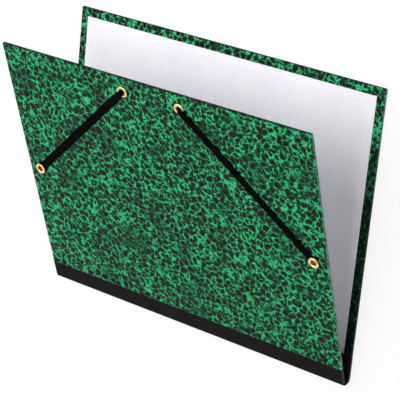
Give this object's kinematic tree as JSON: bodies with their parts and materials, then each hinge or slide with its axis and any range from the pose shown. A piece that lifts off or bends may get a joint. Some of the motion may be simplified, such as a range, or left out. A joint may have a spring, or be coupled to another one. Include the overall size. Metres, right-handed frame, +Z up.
{
  "type": "drawing portfolio",
  "caption": "Stiff marbled-paper portfolio for loose sheets: two board covers on a cloth spine, lined in white, with a flat elastic across the corners, lying ajar.",
  "frame": {"origin": "bottom centre of the whole portfolio as it lies on its back cover with the front cover ajar", "axes": "+X along the spine, +Y from the spine to the fore-edge, +Z up from the back cover"},
  "size_m": [0.3302, 0.2638, 0.1072],
  "materials": {
    "grey_board": "matte",
    "marbled_paper": "satin",
    "lining_paper": "matte",
    "book_cloth": "matte",
    "elastic": "matte",
    "brass": "gloss"
  },
  "bodies": {
    "back_cover": {"back_board": "grey_board", "back_cover_paper": "marbled_paper", "back_lining": "lining_paper", "spine_cloth": "book_cloth", "hinge_strip": "book_cloth"},
    "front_cover": {"front_board": "grey_board", "front_cover_paper": "marbled_paper", "front_lining": "lining_paper", "elastic": "elastic", "top_eyelet_left": "brass", "top_eyelet_right": "brass", "side_eyelet_left": "brass", "side_eyelet_right": "brass"}
  },
  "joints": [
    {"name": "cover_hinge", "type": "hinge", "parent": "back_cover", "child": "front_cover", "pos_m": [0, -0.13259, 0.0046], "axis": [1, 0, 0], "range_deg": [-21.9, 157], "deforming": ["spine_cloth", "hinge_strip"]}
  ]
}
